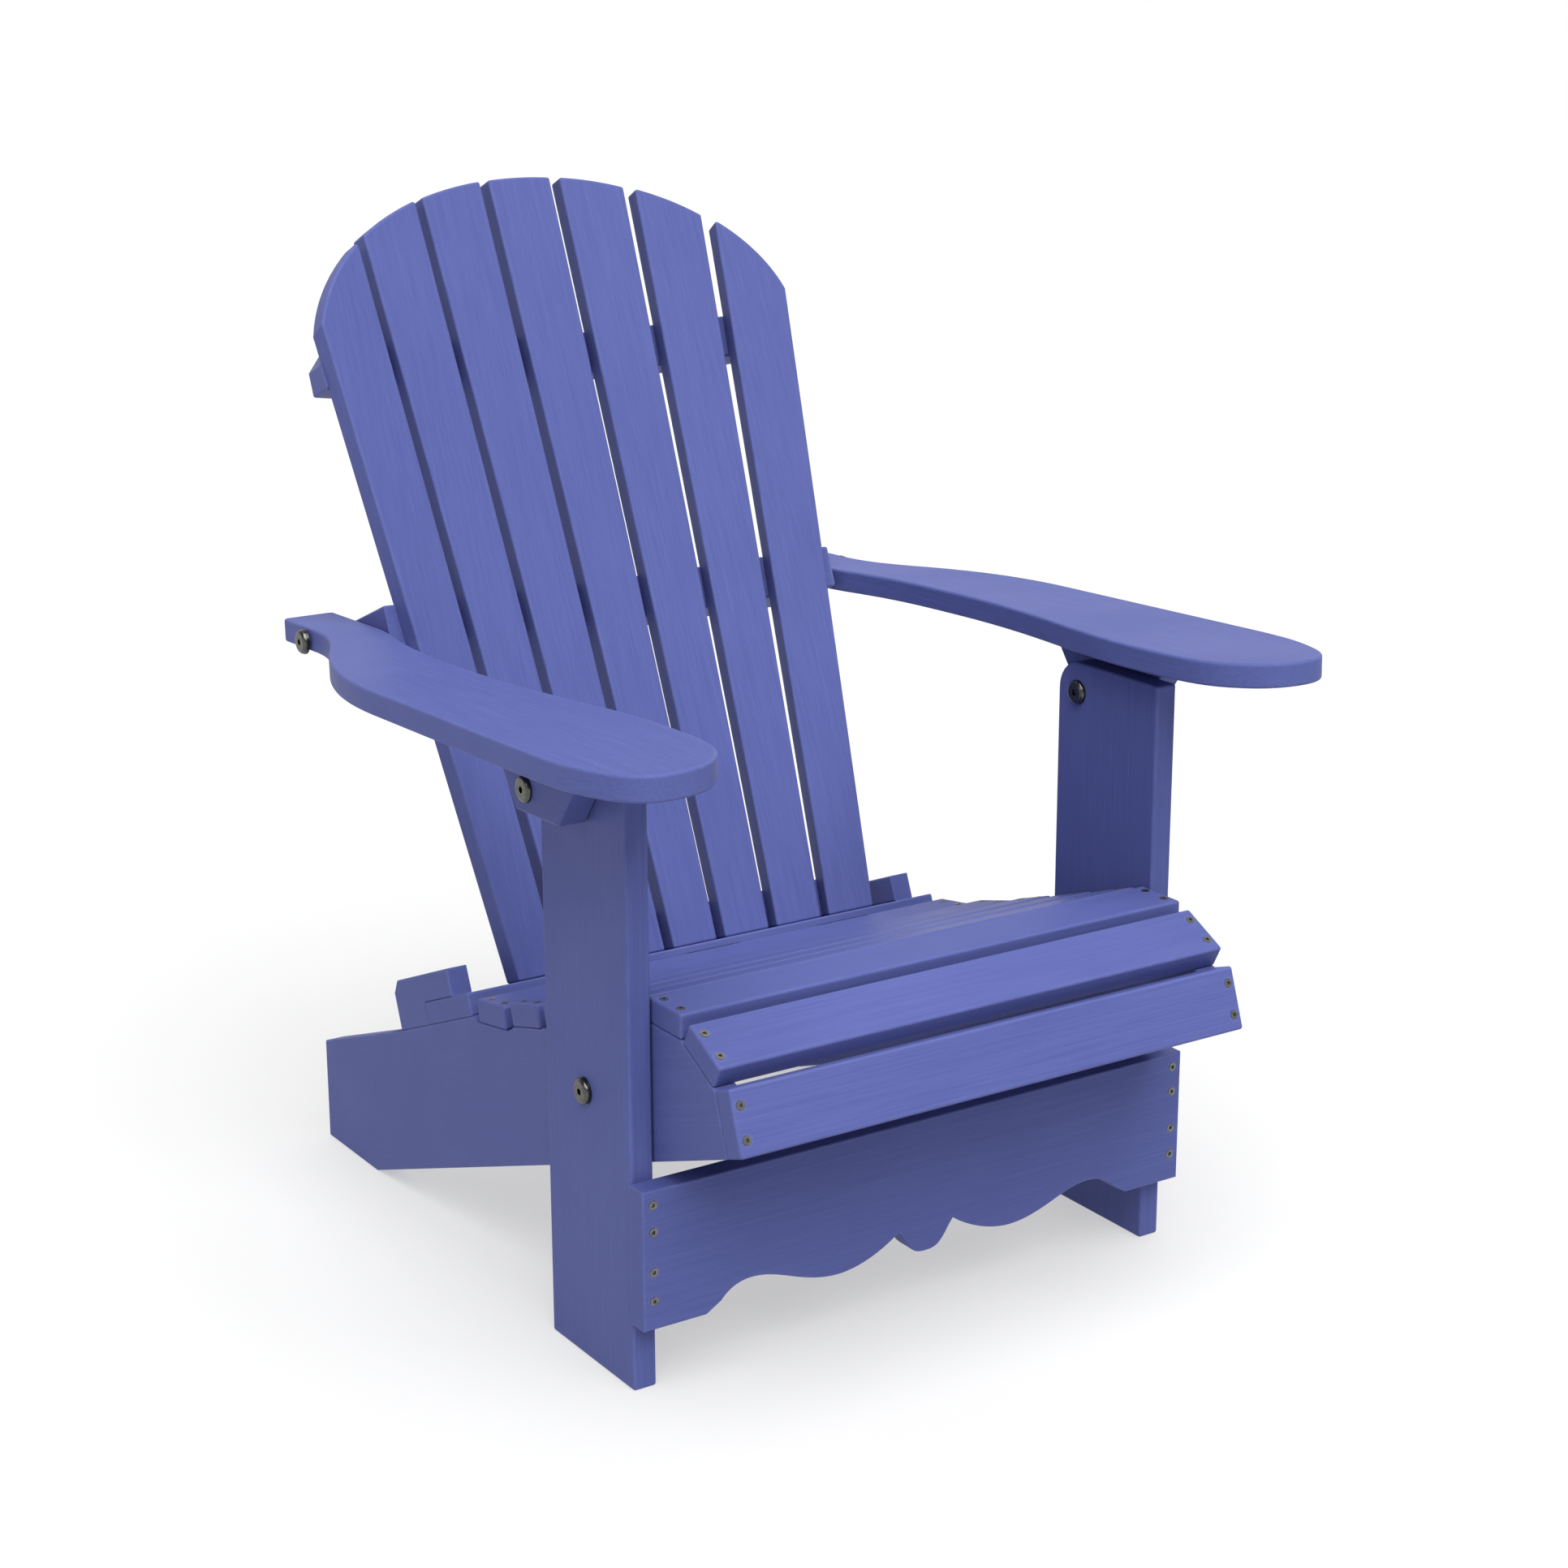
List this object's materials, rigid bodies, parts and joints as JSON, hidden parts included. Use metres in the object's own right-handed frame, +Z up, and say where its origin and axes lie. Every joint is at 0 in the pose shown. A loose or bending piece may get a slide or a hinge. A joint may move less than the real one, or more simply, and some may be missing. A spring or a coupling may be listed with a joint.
{
  "type": "adirondack chair",
  "caption": "Folding slatted garden chair with a dished fan back, sloping seat, wide armrests on bolted brackets and a scalloped front skirt board.",
  "frame": {"origin": "on the ground under the middle of the chair's overall outline", "axes": "+Z up, -Y towards the front of the chair, +X to the sitter's left; node names say left for -X and right for +X, as seen from the front"},
  "size_m": [0.748, 0.8277, 0.9471],
  "materials": {
    "lumber": "matte plastic lumber with a fine grain along each board",
    "stainless": "satin stainless steel"
  },
  "bodies": {
    "seat_frame": {"left_side_rail": "lumber", "right_side_rail": "lumber", "seat_slat_1": "lumber", "seat_slat_2": "lumber", "seat_slat_3": "lumber", "seat_slat_4": "lumber", "seat_slat_5": "lumber", "seat_slat_6": "lumber", "seat_slat_7": "lumber", "seat_slat_8": "lumber", "seat_screws": "stainless", "leg_pivot_bolts": "stainless", "leg_pivot_washers": "stainless", "leg_pivot_spacers": "stainless", "leg_pivot_nuts": "stainless", "seat_hinge_leaves": "stainless", "seat_hinge_screws": "stainless", "hinge_pins": "stainless"},
    "back": {"back_slat_1": "lumber", "back_slat_2": "lumber", "back_slat_3": "lumber", "back_slat_4": "lumber", "back_slat_5": "lumber", "back_slat_6": "lumber", "back_slat_7": "lumber", "upper_back_batten": "lumber", "arm_support_rail": "lumber", "lower_back_batten": "lumber", "back_sill": "lumber", "left_back_block": "lumber", "right_back_block": "lumber", "back_slat_screws": "stainless", "back_sill_screws": "stainless", "back_hinge_leaves": "stainless", "back_hinge_screws": "stainless", "arm_pivot_bolts": "stainless", "arm_pivot_washers": "stainless"},
    "front_legs": {"left_front_leg": "lumber", "right_front_leg": "lumber", "front_skirt": "lumber", "skirt_screws": "stainless", "leg_barrel_nuts": "stainless"},
    "left_arm": {"left_armrest": "lumber", "left_arm_bracket": "lumber", "left_leg_bolt": "stainless", "left_bracket_screws": "stainless"},
    "right_arm": {"right_armrest": "lumber", "right_arm_bracket": "lumber", "right_leg_bolt": "stainless", "right_bracket_screws": "stainless"}
  },
  "joints": [
    {"name": "back_fold", "type": "hinge", "parent": "seat_frame", "child": "back", "pos_m": [0, 0.036, 0.2405], "axis": [1, 0, 0], "range_deg": [0, 54]},
    {"name": "leg_fold", "type": "hinge", "parent": "seat_frame", "child": "front_legs", "pos_m": [0, -0.2085, 0.247], "axis": [1, 0, 0], "range_deg": [0, 68.58]},
    {"name": "left_arm_fold", "type": "hinge", "parent": "back", "child": "left_arm", "pos_m": [-0.278, 0.27476, 0.54074], "axis": [1, 0, 0], "range_deg": [-27, 0]},
    {"name": "right_arm_fold", "type": "hinge", "parent": "back", "child": "right_arm", "pos_m": [0.278, 0.27476, 0.54074], "axis": [1, 0, 0], "range_deg": [-27, 0]}
  ],
  "couplings": [
    {"joint": "leg_fold", "follows": "back_fold", "ratio": 1.27},
    {"joint": "left_arm_fold", "follows": "back_fold", "ratio": -0.5},
    {"joint": "right_arm_fold", "follows": "back_fold", "ratio": -0.5}
  ]
}
